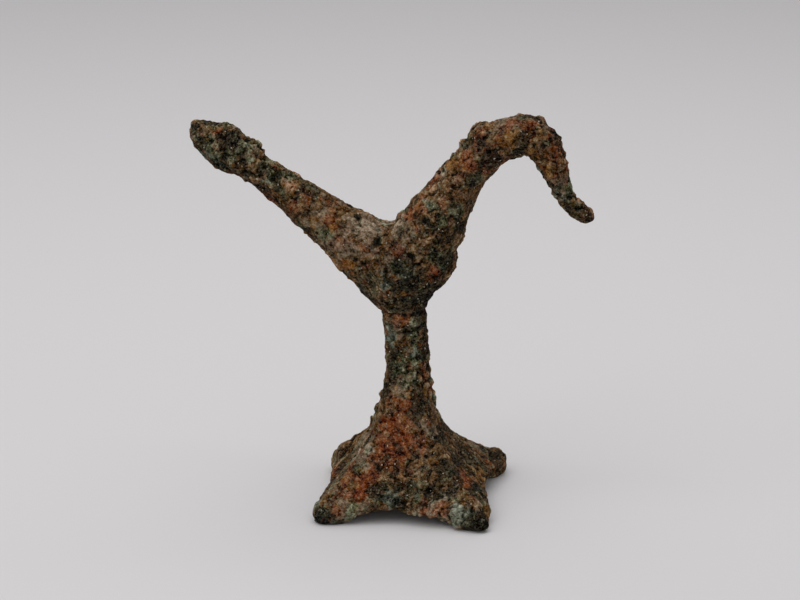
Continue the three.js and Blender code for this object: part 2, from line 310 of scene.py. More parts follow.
def growCrust(co, form, stem, lumps):
    # the height of the crust at each point, and four numbers that all points of one lump share
    pick = np.random.RandomState(form["seed"])
    bendSize, bendFar = form["bend"]
    bent = co + bendFar * np.stack([waves(co, bendSize, 21 + k) for k in range(3)], 1)
    swell = waves(co, form["swell"][0], 1) * form["swell"][1]
    size, tall = form["scabs"]
    scabs = np.tanh(4 * waves(bent, size, 2)) * tall * 0.6 + waves(bent, size * 0.6, 3) * tall * 0.8
    clodCells = cells(bent, form["clods"][0], 4)
    clods = lumpy(*clodCells) * form["clods"][1]
    grains = lumpy(*cells(bent, form["grains"][0], 5)) * form["grains"][1]
    broken = crumbs(bent, form["crumbs"][0], 7) * form["crumbs"][1]
    size, mean, swing, least, most = form["coarser"]
    coarser = np.clip(mean + swing * waves(co, size, 6), least, most)
    size, deep, rare, soft = form["hollows"]
    holes = np.clip((-rare - crumbs(bent, size, 8)) / soft, 0, 1)
    holes = -deep * holes * holes * (3 - 2 * holes)
    height = swell + scabs + (clods + grains + broken) * coarser + holes
    height += furrowsOf(co, stem["middle"], *form["furrows"])
    tree = kdtree.KDTree(len(co))
    for i, p in enumerate(co.tolist()):
        tree.insert(p, i)
    tree.balance()
    single = np.zeros(len(co))
    for name in ("nodules", "pits"):
        what = form[name]
        least, most = what["height"]
        for n in range(what["count"]):
            at = co[pick.randint(len(co))]
            radius = pick.uniform(*what["size"])
            stamp(single, tree, at, radius, least + (most - least) * pick.rand() ** 2)
    for x, y, z, radius, tall in lumps:
        stamp(single, tree, tree.find((x, y, z))[0], radius, tall)
    for ring in ringsOf(co, stem):
        single += ring
    return height + single, np.stack([ownNumber(clodCells[2], k) for k in (1, 2, 3, 4)], 1)


def feather(co, height, bare, soon):
    # the toes' soles stay flat on the ground, and nothing reaches below it
    return height * np.clip((co[:, 2] - bare) / soon, 0, 1)


# stains, listed one by one: kind, x, y, z, radius in mm, strength; below zero it takes away what lies of
# that stain there by then, so the order counts
# many soot rows are partly painted shade, as under the breast and along the toes' undersides by the
# ground; some ash rows are partly painted light, as on the lit lip of the foot's front
stainMap = [
    ("green", -33.0, -1.5, 72.5, 6.0, 0.30),
    ("green", -35.8, -1.8, 70.8, 2.4, 0.60),
    ("green", -37.7, -1.3, 73.7, 2.5, 0.30),
    ("soot", -37.9, -1.3, 73.9, 2.6, 0.35),
    ("rust", -33.7, -1.6, 74.8, 1.5, 0.35),
    ("ochre", -34.4, -0.8, 75.8, 1.3, 0.20),
    ("soot", -30.6, -1.8, 73.7, 2.3, 0.75),
    ("ash", -27.5, -1.7, 71.8, 2.0, 0.15),
    ("soot", -28.5, -2.2, 67.9, 2.0, 0.35),
    ("ochre", -25.8, -1.2, 70.7, 1.3, 0.25),
    ("green", -23.3, -1.2, 68.2, 3.0, 0.40),
    ("soot", -22.9, -2.2, 66.2, 1.7, 0.50),
    ("ash", -19.4, -1.9, 65.2, 1.4, 0.30),
    ("rust", -19.2, -2.0, 65.2, 1.4, 0.60),
    ("rust", -16.3, -2.9, 63.2, 2.4, 0.35),
    ("soot", -14.5, -0.6, 64.0, 2.4, 0.45),
    ("rust", -18.0, -3.0, 60.5, 2.0, 0.30),
    ("ash", -13.4, -3.6, 57.3, 2.6, 0.40),
    ("ochre", -13.6, -3.6, 57.0, 2.2, 0.30),
    ("green", -13.0, -3.4, 55.4, 2.2, 0.35),
    ("rust", -9.6, -3.0, 59.6, 2.4, 0.40),
    ("ash", -5.0, -2.4, 57.4, 3.6, 0.60),
    ("ash", -1.0, 1.5, 57.3, 3.2, 0.55),
    ("rust", -7.8, -4.3, 50.0, 1.2, 1.00),
    ("ochre", -7.8, -4.3, 50.0, 1.4, 1.00),
    ("ash", -3.5, -4.3, 53.6, 2.0, 0.35),
    ("rust", -1.2, -4.6, 54.0, 1.8, 0.35),
    ("rust", 1.9, -5.2, 53.4, 2.2, 0.60),
    ("soot", 3.6, -5.6, 55.4, 1.6, 0.45),
    ("green", 2.2, -5.8, 49.7, 1.8, 0.85),
    ("soot", 2.6, -5.8, 49.5, 3.0, 0.55),
    ("soot", 4.5, -5.3, 45.8, 3.6, 0.55),
    ("green", 4.0, -5.0, 44.5, 3.6, 0.40),
    ("ochre", 4.2, -5.5, 46.9, 1.0, 0.40),
    ("rust", 8.9, -4.6, 48.5, 1.7, 0.75),
    ("soot", 11.3, -3.5, 50.4, 2.8, 0.50),
    ("green", 11.4, -3.6, 51.5, 3.2, 0.45),
    ("green", 12.2, -3.5, 60.5, 3.4, 0.45),
    ("soot", 13.0, -3.0, 57.0, 3.0, 0.45),
    ("rust", 7.6, -3.6, 62.4, 2.6, 0.45),
    ("ash", 5.0, -3.6, 58.6, 2.0, 0.30),
    ("ash", 9.0, -2.4, 66.4, 2.2, 0.40),
    ("rust", 13.4, -3.7, 65.8, 2.0, 0.35),
    ("rust", 15.3, -3.2, 70.3, 2.4, 0.70),
    ("ochre", 12.6, -2.4, 69.4, 2.0, 0.40),
    ("soot", 17.2, -3.0, 67.0, 1.8, 0.55),
    ("green", 16.8, -3.0, 66.6, 2.0, 0.35),
    ("rust", 18.2, -2.9, 72.8, 2.6, 0.30),
    ("soot", 18.4, -3.1, 73.6, 2.2, 0.45),
    ("ash", 22.3, -1.0, 77.6, 3.0, 0.55),
    ("ash", 16.8, -1.4, 76.2, 1.8, 0.30),
    ("ochre", 23.3, -3.2, 75.0, 2.0, 0.50),
    ("rust", 23.0, -3.2, 74.0, 1.7, 0.35),
    ("soot", 25.8, -3.1, 75.4, 1.5, 0.75),
    ("ochre", 28.0, -2.7, 75.6, 2.2, 0.35),
    ("rust", 29.4, -2.8, 72.6, 2.6, 0.30),
    ("rust", 31.7, -1.3, 75.2, 1.4, 0.60),
    ("ochre", 27.6, -3.0, 72.4, 2.0, 0.40),
    ("rust", 31.1, -2.2, 68.8, 1.8, 0.50),
    ("soot", 24.5, -2.7, 71.5, 2.2, 0.40),
    ("soot", 33.8, -1.4, 70.6, 1.8, 0.40),
    ("green", 34.3, -1.0, 65.6, 2.2, 0.55),
    ("soot", 35.0, -1.2, 62.2, 2.2, 0.50),
    ("ash", 35.9, -0.9, 61.8, 1.3, 0.40),
    ("green", 37.5, -0.8, 58.6, 2.4, 0.45),
    ("soot", 37.4, -0.9, 59.8, 2.2, 0.60),
    ("soot", 3.0, -4.6, 41.4, 3.2, 0.60),
    ("green", 3.0, -4.0, 40.2, 2.2, 0.35),
    ("rust", 2.2, -3.3, 38.3, 1.7, 0.70),
    ("soot", 3.6, -3.3, 36.7, 1.1, 0.75),
    ("green", 0.1, -2.2, 34.9, 1.7, 0.75),
    ("teal", -0.1, -2.1, 34.8, 1.6, 0.95),
    ("green", 5.2, -2.7, 36.8, 1.6, 0.90),
    ("soot", 7.0, -1.6, 34.0, 2.0, 0.65),
    ("soot", 2.2, -3.2, 33.2, 1.3, 0.35),
    ("rust", 2.4, -3.3, 31.4, 1.5, 0.30),
    ("green", 4.4, -3.3, 30.6, 2.3, 0.75),
    ("teal", 4.7, -3.2, 31.3, 1.1, 0.60),
    ("green", 1.6, -3.2, 27.8, 1.8, 0.60),
    ("soot", 0.4, -2.4, 29.5, 1.6, 0.45),
    ("green", 4.2, -3.5, 26.6, 2.0, 0.45),
    ("rust", 7.0, -1.6, 26.4, 1.9, 0.40),
    ("soot", 7.4, -1.0, 29.8, 1.8, 0.40),
    ("soot", -0.9, -2.0, 23.4, 1.6, 0.65),
    ("ash", 2.4, -3.8, 23.8, 1.8, 0.50),
    ("ochre", 2.2, -3.8, 23.4, 1.6, 0.30),
    ("soot", 5.8, -3.3, 23.0, 1.4, 0.85),
    ("soot", 6.2, -3.8, 20.6, 1.5, 0.80),
    ("rust", 2.2, -4.5, 20.4, 2.6, 0.60),
    ("rust", 1.5, -5.4, 16.6, 2.8, 0.75),
    ("rust", 0.9, -7.0, 13.6, 2.5, 0.90),
    ("ash", -6.6, 3.0, 9.3, 3.6, 0.45),
    ("green", -7.6, 2.0, 8.4, 4.0, 0.25),
    ("soot", 31.3, -1.2, 77.6, 2.6, 0.40),
    ("soot", 20.2, -3.0, 69.4, 2.5, 0.65),
    ("rust", 20.6, -3.0, 70.2, 2.8, 0.80),
    ("ash", 1.8, -3.8, 56.2, 3.4, 0.60),
    ("ash", -10.2, -4.0, 51.6, 2.8, 0.70),
    ("soot", -4.6, -2.8, 43.4, 3.0, 0.65),
    ("green", -4.0, -3.8, 45.0, 3.4, 0.30),
    ("soot", 8.0, -3.6, 43.0, 3.0, 0.85),
    ("soot", 8.6, -4.8, 51.2, 2.4, 0.40),
    ("soot", 7.3, -1.4, 37.4, 2.6, 0.75),
    ("soot", -24.4, -1.0, 64.4, 3.0, 0.35),
    ("soot", -29.6, -1.4, 66.6, 2.4, 0.35),
    ("soot", -17.6, -1.4, 58.0, 3.0, 0.35),
    ("ash", -4.4, -8.4, 11.4, 2.2, 0.50),
    ("soot", 14.5, -3.0, 9.6, 3.6, 0.65),
    ("soot", 13.2, 3.4, 9.4, 3.0, 0.45),
    ("soot", 31.5, -1.6, 75.2, 2.4, 0.40),
    ("soot", 10.6, -1.5, 44.2, 2.6, 0.65),
    ("ash", 1.6, -2.8, 36.0, 1.8, 0.50),
    ("ash", 5.8, -7.0, 12.4, 2.0, 0.40),
    ("rust", 26.6, -3.0, 75.0, 2.4, 0.35),
    ("ochre", 15.2, -3.2, 70.0, 2.2, 0.30),
    ("rust", 4.4, -7.0, 13.1, 3.0, 0.80),
    ("rust", 1.2, -8.8, 10.3, 2.6, 0.80),
    ("soot", 0.6, -9.0, 10.2, 2.2, 0.45),
    ("rust", -2.8, -11.1, 8.2, 2.4, 0.80),
    ("rust", -4.3, -12.5, 7.0, 2.3, 0.90),
    ("rust", -4.9, -13.9, 5.9, 1.8, 0.80),
    ("ember", -0.3, -5.4, 17.2, 2.0, 0.75),
    ("ember", 3.6, -6.3, 14.6, 1.9, 0.65),
    ("ember", -0.2, -7.5, 12.5, 1.8, 0.90),
    ("ember", 3.0, -7.3, 12.3, 1.8, 0.75),
    ("ember", 6.0, -7.3, 12.7, 1.4, 0.80),
    ("ember", -4.2, -12.4, 7.1, 1.7, 0.70),
    ("ember", -4.9, -13.9, 5.9, 1.4, 0.75),
    ("ember", -2.8, -11.0, 8.3, 1.5, 0.55),
    ("ember", 15.8, -7.6, 7.4, 1.6, 0.75),
    ("ember", 15.7, -10.6, 7.2, 1.3, 0.70),
    ("ember", 2.2, -3.3, 38.3, 1.2, 0.55),
    ("ember", 8.9, -4.6, 48.5, 1.3, 0.65),
    ("ember", 1.9, -5.2, 53.4, 1.4, 0.45),
    ("ember", 15.3, -3.2, 70.3, 1.4, 0.35),
    ("ember", -7.8, -4.3, 50.0, 1.2, 0.90),
    ("rust", -6.6, -11.5, 8.2, 2.2, 0.50),
    ("ash", -8.0, -14.8, 5.0, 2.4, 0.50),
    ("rust", -8.9, -16.4, 3.6, 1.6, 0.50),
    ("soot", -12.0, -17.2, 2.2, 2.2, 0.70),
    ("green", -11.9, -16.9, 2.2, 2.0, 0.40),
    ("green", -6.4, -16.6, 2.7, 1.7, 0.80),
    ("teal", 0.7, -13.6, 5.8, 1.7, 1.00),
    ("soot", -1.3, -13.4, 6.0, 1.8, 0.80),
    ("soot", 3.5, -14.9, 4.6, 1.5, 1.00),
    ("soot", 2.4, -12.6, 6.6, 1.2, 0.70),
    ("soot", 9.4, -13.2, 6.5, 1.8, 1.00),
    ("soot", 9.5, -14.4, 5.5, 1.1, 0.70),
    ("ochre", 9.1, -8.9, 10.5, 1.0, 0.75),
    ("ochre", 6.1, -10.6, 8.3, 0.9, 0.70),
    ("ochre", 1.5, -12.0, 7.0, 0.9, 0.75),
    ("ochre", -2.3, -13.7, 5.9, 0.8, 0.60),
    ("ash", 4.9, -12.3, 6.7, 1.5, 0.45),
    ("ash", 7.7, -9.2, 10.1, 2.2, 0.35),
    ("rust", 7.3, -15.5, 4.1, 1.8, 0.60),
    ("ash", 9.9, -15.6, 4.6, 1.8, 0.65),
    ("rust", 11.0, -16.4, 3.6, 1.6, 0.55),
    ("ash", 12.0, -14.8, 5.4, 1.9, 0.50),
    ("teal", 14.6, -17.2, 3.4, 2.0, 1.00),
    ("teal", 16.6, -17.5, 3.2, 1.7, 0.80),
    ("ash", 14.0, -17.3, 3.4, 1.0, 0.50),
    ("soot", 18.4, -17.6, 3.0, 1.7, 0.70),
    ("soot", 16.9, -16.4, 4.4, 1.2, 0.65),
    ("rust", 15.8, -7.4, 7.4, 2.3, 0.85),
    ("rust", 15.6, -10.8, 7.2, 1.9, 0.80),
    ("green", 18.2, -8.2, 5.4, 1.7, 0.50),
    ("soot", 18.4, -8.8, 5.2, 1.8, 0.65),
    ("rust", 18.3, -14.4, 4.9, 2.0, 0.50),
    ("soot", 11.0, -3.2, 13.4, 2.8, 0.65),
    ("soot", 11.9, -9.6, 9.6, 2.1, 0.85),
    ("soot", 10.7, -11.7, 7.8, 1.5, 0.55),
    ("rust", 13.3, -1.0, 9.8, 1.9, 0.50),
    ("soot", 15.4, 1.8, 7.8, 2.4, 0.60),
    ("rust", 19.9, 7.6, 4.9, 2.2, 0.65),
    ("soot", 21.3, 10.8, 4.0, 2.0, 0.60),
    ("soot", 21.2, 6.4, 3.0, 1.8, 0.55),
    ("ash", -5.3, -5.0, 11.8, 2.8, 0.60),
    ("ash", -7.4, -1.6, 9.0, 3.2, 0.60),
    ("soot", 6.1, -4.3, 19.4, 1.5, 0.90),
    ("soot", 32.4, 0.4, 75.2, 1.9, 0.80),
    ("soot", 8.0, -1.5, 42.8, 2.6, 1.00),
    ("teal", -35.9, -1.1, 69.9, 1.6, 0.65),
    ("soot", -29.6, -2.0, 68.6, 2.6, 0.45),
    ("soot", -23.6, -2.2, 64.9, 2.4, 0.40),
    ("soot", 31.6, -1.0, 76.0, 2.2, 0.65),
    ("soot", 9.6, -2.2, 43.8, 2.6, 0.95),
    ("soot", 7.6, -1.2, 35.0, 2.2, 0.65),
    ("soot", 7.4, -1.4, 31.0, 2.4, 0.50),
    ("soot", 20.6, 9.6, 4.6, 3.0, 0.75),
    ("ash", -5.0, -7.4, 11.8, 2.8, 0.95),
    ("green", -6.0, -3.5, 10.8, 2.4, 0.45),
    ("ash", -3.6, -6.2, 14.4, 1.8, 0.70),
    ("ash", -7.0, -9.4, 9.6, 2.0, 0.45),
    ("ash", 8.4, -4.8, 16.4, 2.0, 0.60),
    ("rust", 16.6, -2.6, 74.8, 2.2, 0.45),
    ("rust", 22.4, -2.4, 76.6, 2.4, 0.40),
    ("rust", 26.4, -2.8, 76.4, 2.4, 0.45),
    ("ochre", -29.4, -2.2, 68.2, 1.8, 0.30),
    ("ash", 10.4, -16.4, 3.3, 2.0, 0.75),
    ("ash", 7.9, -15.8, 3.8, 1.6, 0.60),
    ("ash", -7.8, -16.8, 2.6, 1.8, 0.60),
    ("soot", 13.8, -12.3, 7.2, 1.8, 0.55),
    ("soot", 5.4, -12.9, 6.4, 1.5, 0.50),
    ("soot", 17.2, -12.2, 6.1, 1.6, 0.45),
    ("soot", -2.2, -4.3, 54.4, 1.3, 0.85),
    ("soot", -6.0, -1.3, 58.5, 0.9, 0.80),
    ("soot", 1.1, -4.6, 42.2, 1.3, 0.85),
    ("soot", 4.6, -5.9, 52.0, 1.0, 0.75),
    ("soot", 7.0, -4.5, 59.1, 1.3, 0.75),
    ("soot", 34.9, -1.0, 63.4, 0.9, 0.80),
    ("soot", -24.1, -1.6, 68.2, 1.1, 0.85),
    ("soot", -22.5, -2.3, 66.0, 1.1, 0.85),
    ("soot", -28.3, -2.1, 67.3, 1.1, 0.85),
    ("soot", -29.9, -2.1, 72.8, 1.9, 0.60),
    ("teal", 3.6, -5.9, 48.9, 1.2, 0.80),
    ("ochre", 3.3, -4.9, 44.0, 0.8, 0.85),
    ("teal", -0.9, -5.2, 45.6, 0.8, 0.90),
    ("rust", -11.1, -3.6, 57.8, 1.6, 0.55),
    ("rust", -12.6, -1.7, 61.7, 1.6, 0.55),
    ("ember", 31.1, -1.8, 75.2, 1.0, 0.60),
    ("ochre", 30.9, -2.2, 68.7, 1.5, 0.55),
    ("rust", 14.2, -3.4, 68.6, 2.4, 0.45),
    ("ash", -8.4, -4.4, 52.7, 2.4, 0.65),
    ("ash", 17.3, -2.2, 75.6, 1.6, 0.35),
    ("rust", -3.6, -12.0, 7.5, 2.4, 0.70),
    ("ash", -28.0, -2.4, 70.6, 1.5, 0.35),
    ("soot", -31.4, -2.1, 70.2, 1.6, 0.40),
    ("ochre", 26.9, -3.1, 73.4, 1.8, 0.35),
    ("ash", 32.4, -1.5, 65.0, 2.2, 0.70),
    ("teal", 33.4, -1.2, 63.4, 1.3, 0.35),
    ("rust", 8.4, -5.0, 57.0, 1.8, 0.45),
    ("ash", -4.2, -16.2, 2.4, 1.7, 0.50),
    ("soot", 17.4, -18.0, 1.4, 1.7, 0.75),
    ("rust", 12.6, -3.0, 69.8, 2.0, 0.50),
    ("teal", 0.4, -2.4, 33.0, 1.0, 0.75),
    ("soot", 9.5, -2.6, 45.2, 2.0, 0.90),
    ("soot", 20.2, -17.6, 1.2, 2.0, 0.80),
    ("soot", 6.8, -3.4, 42.6, 2.0, 0.90),
    ("ochre", -26.6, -2.2, 71.2, 1.5, 0.40),
    ("rust", -4.6, -7.2, 12.4, 2.4, -1.00),
    ("ember", -4.6, -7.2, 12.4, 2.0, -1.00),
    ("rust", -4.4, -9.0, 10.9, 1.6, -0.60),
    ("rust", -18.9, 0.2, 67.0, 2.0, -0.80),
    ("rust", -25.8, 0.5, 72.9, 1.8, -0.70),
    ("ochre", -25.8, 0.5, 72.9, 1.8, -0.70),
    ("rust", 20.2, -13.8, 3.7, 2.0, -0.90),
    ("ember", 20.2, -13.8, 3.7, 1.8, -0.60),
    ("rust", -35.2, 0.5, 76.4, 1.8, -0.80),
    ("ochre", -35.2, 0.5, 76.4, 1.8, -0.60),
    ("rust", -10.6, 1.6, 61.4, 2.0, -0.90),
    ("rust", 6.4, -8.0, 11.5, 2.0, -0.80),
    ("ember", 6.4, -8.0, 11.5, 1.8, -0.80),
    ("ochre", -12.9, -10.1, 3.4, 1.8, -0.70),
    ("rust", 18.0, -15.9, 4.4, 1.6, -0.70),
    ("rust", 8.9, 0.3, 19.9, 1.8, -0.80),
    ("rust", 5.6, -15.0, 4.7, 1.6, -0.60),
    ("ochre", 5.6, -15.0, 4.7, 1.6, -0.60),
    ("rust", 9.4, -4.1, 61.6, 1.8, -0.90),
    ("rust", 8.0, -5.2, 56.5, 1.8, -0.80),
    ("ochre", -1.0, -0.8, 24.9, 1.6, -0.60),
    ("rust", -1.0, -0.8, 24.9, 1.6, -0.60),
    ("ochre", -26.2, -1.5, 70.9, 1.6, -0.50),
    ("rust", 22.3, 14.5, 3.7, 1.8, -0.80),
    ("ochre", 6.3, -9.5, 9.5, 1.6, -0.60),
    ("rust", 0.2, -11.6, 7.4, 1.6, -0.60),
    ("rust", 13.8, -3.6, 64.2, 1.6, -0.70),
    ("rust", 8.6, -1.2, 66.1, 2.0, 0.75),
    ("ember", 8.6, -1.2, 66.1, 1.4, 0.50),
    ("green", -18.9, 0.2, 67.0, 1.8, 0.40),
    ("green", -25.8, 0.5, 72.9, 1.6, 0.35),
    ("green", 20.2, -13.8, 3.7, 1.8, 0.45),
    ("rust", -7.7, -14.1, 5.8, 1.8, 0.70),
    ("ember", -7.7, -14.1, 5.8, 1.5, 0.40),
    ("soot", -35.2, 0.5, 76.4, 1.8, 0.45),
    ("ash", -10.6, 1.6, 61.4, 1.8, 0.35),
    ("soot", -12.9, -10.1, 3.4, 1.6, 0.50),
    ("green", 8.9, 0.3, 19.9, 1.6, 0.40),
    ("rust", -0.6, -8.0, 11.8, 2.0, 0.90),
    ("green", 9.4, -4.1, 61.9, 1.6, 0.30),
    ("green", 8.0, -5.2, 56.5, 1.6, 0.30),
    ("green", -1.0, -0.8, 24.9, 1.5, 0.40),
    ("soot", 22.3, 14.5, 3.7, 1.8, 0.55),
    ("rust", -2.7, -8.7, 11.2, 1.6, 0.60),
    ("rust", 5.1, -3.1, 60.1, 1.8, 0.65),
    ("ochre", 12.1, -3.4, 54.9, 1.6, 0.50),
    ("rust", 18.2, -2.8, 74.0, 1.6, 0.55),
    ("soot", 6.3, -9.5, 9.5, 1.4, 0.40),
    ("soot", 0.2, -11.6, 7.4, 1.5, 0.45),
]

# how much of each lies everywhere; how much more where the surface faces up, which lays painted light on
# the tops as ash and, below zero, painted shade on the undersides as soot; and how many patches of it are
# scattered; only those on the unseen sides stay
stainKinds = {
    "rust": {"everywhere": 0.05, "paintedTopLightUnderShade": 0.00, "patches": 46},
    "ochre": {"everywhere": 0.02, "paintedTopLightUnderShade": 0.00, "patches": 20},
    "green": {"everywhere": 0.07, "paintedTopLightUnderShade": 0.00, "patches": 34},
    "ash": {"everywhere": 0.05, "paintedTopLightUnderShade": 0.10, "patches": 26},
    "soot": {"everywhere": 0.06, "paintedTopLightUnderShade": -0.14, "patches": 26},
    "teal": {"everywhere": 0.00, "paintedTopLightUnderShade": 0.00, "patches": 12},
    "ember": {"everywhere": 0.00, "paintedTopLightUnderShade": 0.00, "patches": 7},
}

# how the stains lie
stainLay = {
    "ragged": [(2.2, 0.45, 31), (1.0, 0.25, 32)],   # what frays their edges: size in mm, how much, seed
    "full": 1.5,             # a stain is full up to half its radius and gone at one and a half
    "least": -0.3,           # how far below zero a stain can be taken away
    "radius": (1.5, 4.5),    # mm, of the scattered patches
    "strength": (0.3, 0.8),
    "hidden": -0.05,         # they stay where the normal's y is above this,
    "foot": 3,               # or lower than this many mm
}

# painted light and painted shade, with some of the crust's own tone: spots where the crust is made paler,
# or darker below zero, than its stains alone make it, such as painted shade under the breast and along
# the toes' undersides by the ground and painted light on the lit underside of the back right toe: x, y,
# z, radius in mm, how much
paintedLightShadeAndToneSpots = [
    (19.5, -18.0, 1.6, 3.5, -0.45),
    (-12.3, -17.2, 1.4, 3.0, -0.38),
    (12.0, -16.7, 3.7, 3.5, 0.22),
    (-32.6, -1.6, 68.0, 3.0, -0.30),
    (-5.9, -16.5, 2.0, 3.0, 0.32),
    (-2.5, 1.7, 18.4, 3.0, -0.38),
    (5.2, -3.3, 25.4, 3.0, 0.30),
    (-2.1, -1.0, 57.1, 3.5, 0.20),
    (9.6, -3.2, 64.6, 3.5, 0.18),
    (-6.0, -4.1, 47.2, 3.5, 0.32),
    (36.9, -0.2, 61.9, 2.5, 0.32),
    (6.0, -4.5, 58.3, 3.0, 0.28),
    (21.0, 7.2, 3.4, 3.0, 0.32),
    (-10.2, 8.0, 6.6, 3.0, -0.25),
    (29.1, -0.1, 78.2, 2.5, -0.20),
    (16.5, 8.5, 7.5, 3.0, -0.26),
    (-35.0, -1.6, 69.4, 2.5, -0.18),
    (5.5, -4.6, 19.0, 3.0, 0.18),
    (15.4, -17.5, 3.5, 3.0, 0.18),
    (17.0, -0.7, 76.9, 2.5, -0.16),
    (-15.3, -1.6, 63.2, 3.0, 0.15),
    (-4.8, 0.4, 58.5, 3.0, 0.15),
    (-2.9, -8.0, 12.2, 3.0, 0.15),
    (6.9, -5.8, 51.8, 3.0, -0.15),
    (-8.7, -15.4, 4.6, 2.5, 0.15),
    (0.7, -15.2, 4.2, 2.0, -0.22),
    (2.3, -4.2, 21.5, 3.0, 0.15),
    (-11.6, 4.8, 4.3, 3.0, 0.36),
    (-0.9, -5.4, 46.8, 2.5, -0.14),
    (7.0, -10.9, 8.2, 2.5, -0.13),
    (32.8, -2.0, 68.2, 3.0, 0.14),
    (-19.4, 0.2, 66.7, 2.5, -0.13),
    (1.2, -3.2, 26.2, 2.5, -0.24),
    (14.9, -13.2, 6.6, 2.5, -0.12),
    (18.2, 3.8, 5.7, 2.5, -0.24),
    (14.2, -1.5, 72.5, 3.0, 0.14),
    (8.0, -1.5, 42.8, 3.0, -0.35),
    (4.4, -3.2, 33.1, 2.0, -0.15),
    (-2.1, -5.6, 50.9, 2.5, -0.14),
    (-24.9, -1.8, 64.0, 2.5, -0.16),
    (-7.3, -4.9, 8.8, 3.0, 0.28),
    (23.9, -2.6, 72.6, 2.5, -0.15),
    (-33.9, -0.4, 75.9, 2.0, -0.15),
    (14.8, -3.3, 69.5, 2.5, 0.13),
    (-3.9, -12.2, 7.3, 2.5, 0.14),
    (-7.7, 9.2, 9.3, 3.0, -0.16),
    (0.0, -2.4, 38.3, 2.5, 0.15),
    (10.0, -0.8, 15.7, 2.5, 0.15),
    (9.3, -4.3, 61.1, 2.5, -0.13),
    (4.0, -15.0, 3.0, 2.5, 0.15),
    (31.5, -1.2, 65.2, 2.0, -0.14),
    (-37.7, -1.2, 74.6, 2.0, 0.14),
    (12.4, -11.0, 8.4, 2.5, -0.12),
    (1.6, -5.5, 47.4, 2.5, -0.12),
    (16.8, -17.8, 2.9, 2.0, 0.16),
    (21.0, 8.4, 2.2, 2.2, 0.24),
    (-2.2, -0.8, 22.4, 2.2, -0.20),
    (-8.3, 0.8, 7.0, 2.5, 0.20),
    (-12.8, -17.8, 0.6, 2.0, -0.40),
    (13.4, -18.2, 1.0, 2.0, -0.40),
    (-2.7, -6.6, 14.5, 2.2, 0.16),
    (3.6, -5.8, 51.6, 2.2, 0.16),
    (-0.3, -1.3, 29.9, 2.2, 0.16),
    (-11.6, -3.9, 56.5, 2.2, 0.16),
    (10.5, 0.2, 68.9, 2.2, -0.16),
    (31.6, -2.5, 72.3, 2.2, -0.16),
    (2.7, -0.5, 59.5, 2.2, -0.16),
    (-26.7, -0.5, 72.5, 2.2, -0.16),
    (4.0, -15.2, 2.9, 2.2, 0.16),
    (9.6, -16.0, 2.6, 2.2, 0.16),
    (-2.3, 2.0, 21.5, 2.5, -0.25),
    (-12.9, 9.0, 3.0, 2.5, 0.25),
    (18.0, 12.5, 6.3, 2.5, -0.15),
    (9.0, -2.0, 65.0, 2.2, 0.12),
]


def paintedLightShadeAndToneOf(co, spots):
    paintedLightShadeAndTone = np.zeros(len(co))
    for x, y, z, radius, amount in spots:
        gap = np.linalg.norm(co - np.array((x, y, z)), axis=1) / radius
        paintedLightShadeAndTone += amount * np.clip(1 - gap ** 2, 0, 1) ** 2
    return paintedLightShadeAndTone


def scatter(co, normal, kinds, lay, seed):
    # patches of each kind, kept only on the sides that the camera hardly sees
    pick = np.random.RandomState(seed)
    rows = []
    for kind, about in kinds.items():
        for n in range(about["patches"]):
            i = pick.randint(len(co))
            row = (kind, *co[i], pick.uniform(*lay["radius"]), pick.uniform(*lay["strength"]))
            if normal[i][1] > lay["hidden"] or co[i][2] < lay["foot"]:
                rows.append(row)
    return rows


def layStains(co, normal, rows, kinds, lay):
    ragged = 1
    for size, far, seed in lay["ragged"]:
        ragged = ragged + far * waves(co, size, seed)
    # the facing-up share is painted light on the tops and painted shade on the undersides
    laid = {kind: about["everywhere"] + about["paintedTopLightUnderShade"] * normal[:, 2] for kind, about in kinds.items()}
    for kind, x, y, z, radius, strength in rows:
        gap = np.linalg.norm(co - np.array((x, y, z)), axis=1) / radius * ragged
        share = strength * np.clip(lay["full"] - gap, 0, 1)
        if strength > 0:
            laid[kind] = np.maximum(laid[kind], share)
        else:
            laid[kind] = np.maximum(laid[kind] + share, lay["least"])
    return laid


def addFigure(mesh, name, values):
    layer = mesh.attributes.new(name, "FLOAT", "POINT")
    layer.data.foreach_set("value", np.ascontiguousarray(values, np.float32))


def addNumbers(mesh, name, values):
    layer = mesh.attributes.new(name, "FLOAT_COLOR", "POINT")
    layer.data.foreach_set("color", np.ascontiguousarray(values, np.float32).ravel())


def makeCastBird(node, material):
    mesh = castingSkin(node, castingForm["voxel"])
    co, ends = meltJoins(mesh, castingForm)
    normal = normalsOf(mesh)
    print("casting skin:", len(mesh.polygons), "faces")
    height, clodNumbers = growCrust(co, crustForm, stemForm, formLumps + knobs)
    height = feather(co, height + castingForm["thicker"], *castingForm["solesFlat"])
    broad = height[:, None]
    for i in range(crustForm["reliefRounds"]):
        broad = neighbourMean(broad, ends)
    relief = height - broad[:, 0]
    setPoints(mesh, co + normal * height[:, None])
    grown = pointsOf(mesh)
    grown[:, 2] = np.maximum(grown[:, 2], 0)
    print("crust grown: relief from", round(float(relief.min()), 2),
          "to", round(float(relief.max()), 2), "mm")
    rows = scatter(co, normal, stainKinds, stainLay, crustForm["seed"]) + stainMap
    for kind, values in layStains(co, normal, rows, stainKinds, stainLay).items():
        addFigure(mesh, kind, values)
    # painted light and shade, with some of the crust's own tone, laid on the mesh
    addFigure(mesh, "paintedLightShadeAndTone", paintedLightShadeAndToneOf(co, paintedLightShadeAndToneSpots))
    addNumbers(mesh, "clod", clodNumbers)
    addFigure(mesh, "relief", np.clip(relief / crustForm["reliefSpan"], -1, 1) * 0.5 + 0.5)
    print("stains laid:", len(rows))
    setPoints(mesh, grown * mm)
    mesh.shade_smooth()
    mesh.materials.append(material)
    piece = bpy.data.objects.new("cast_bird", mesh)
    scene.collection.objects.link(piece)
    return piece


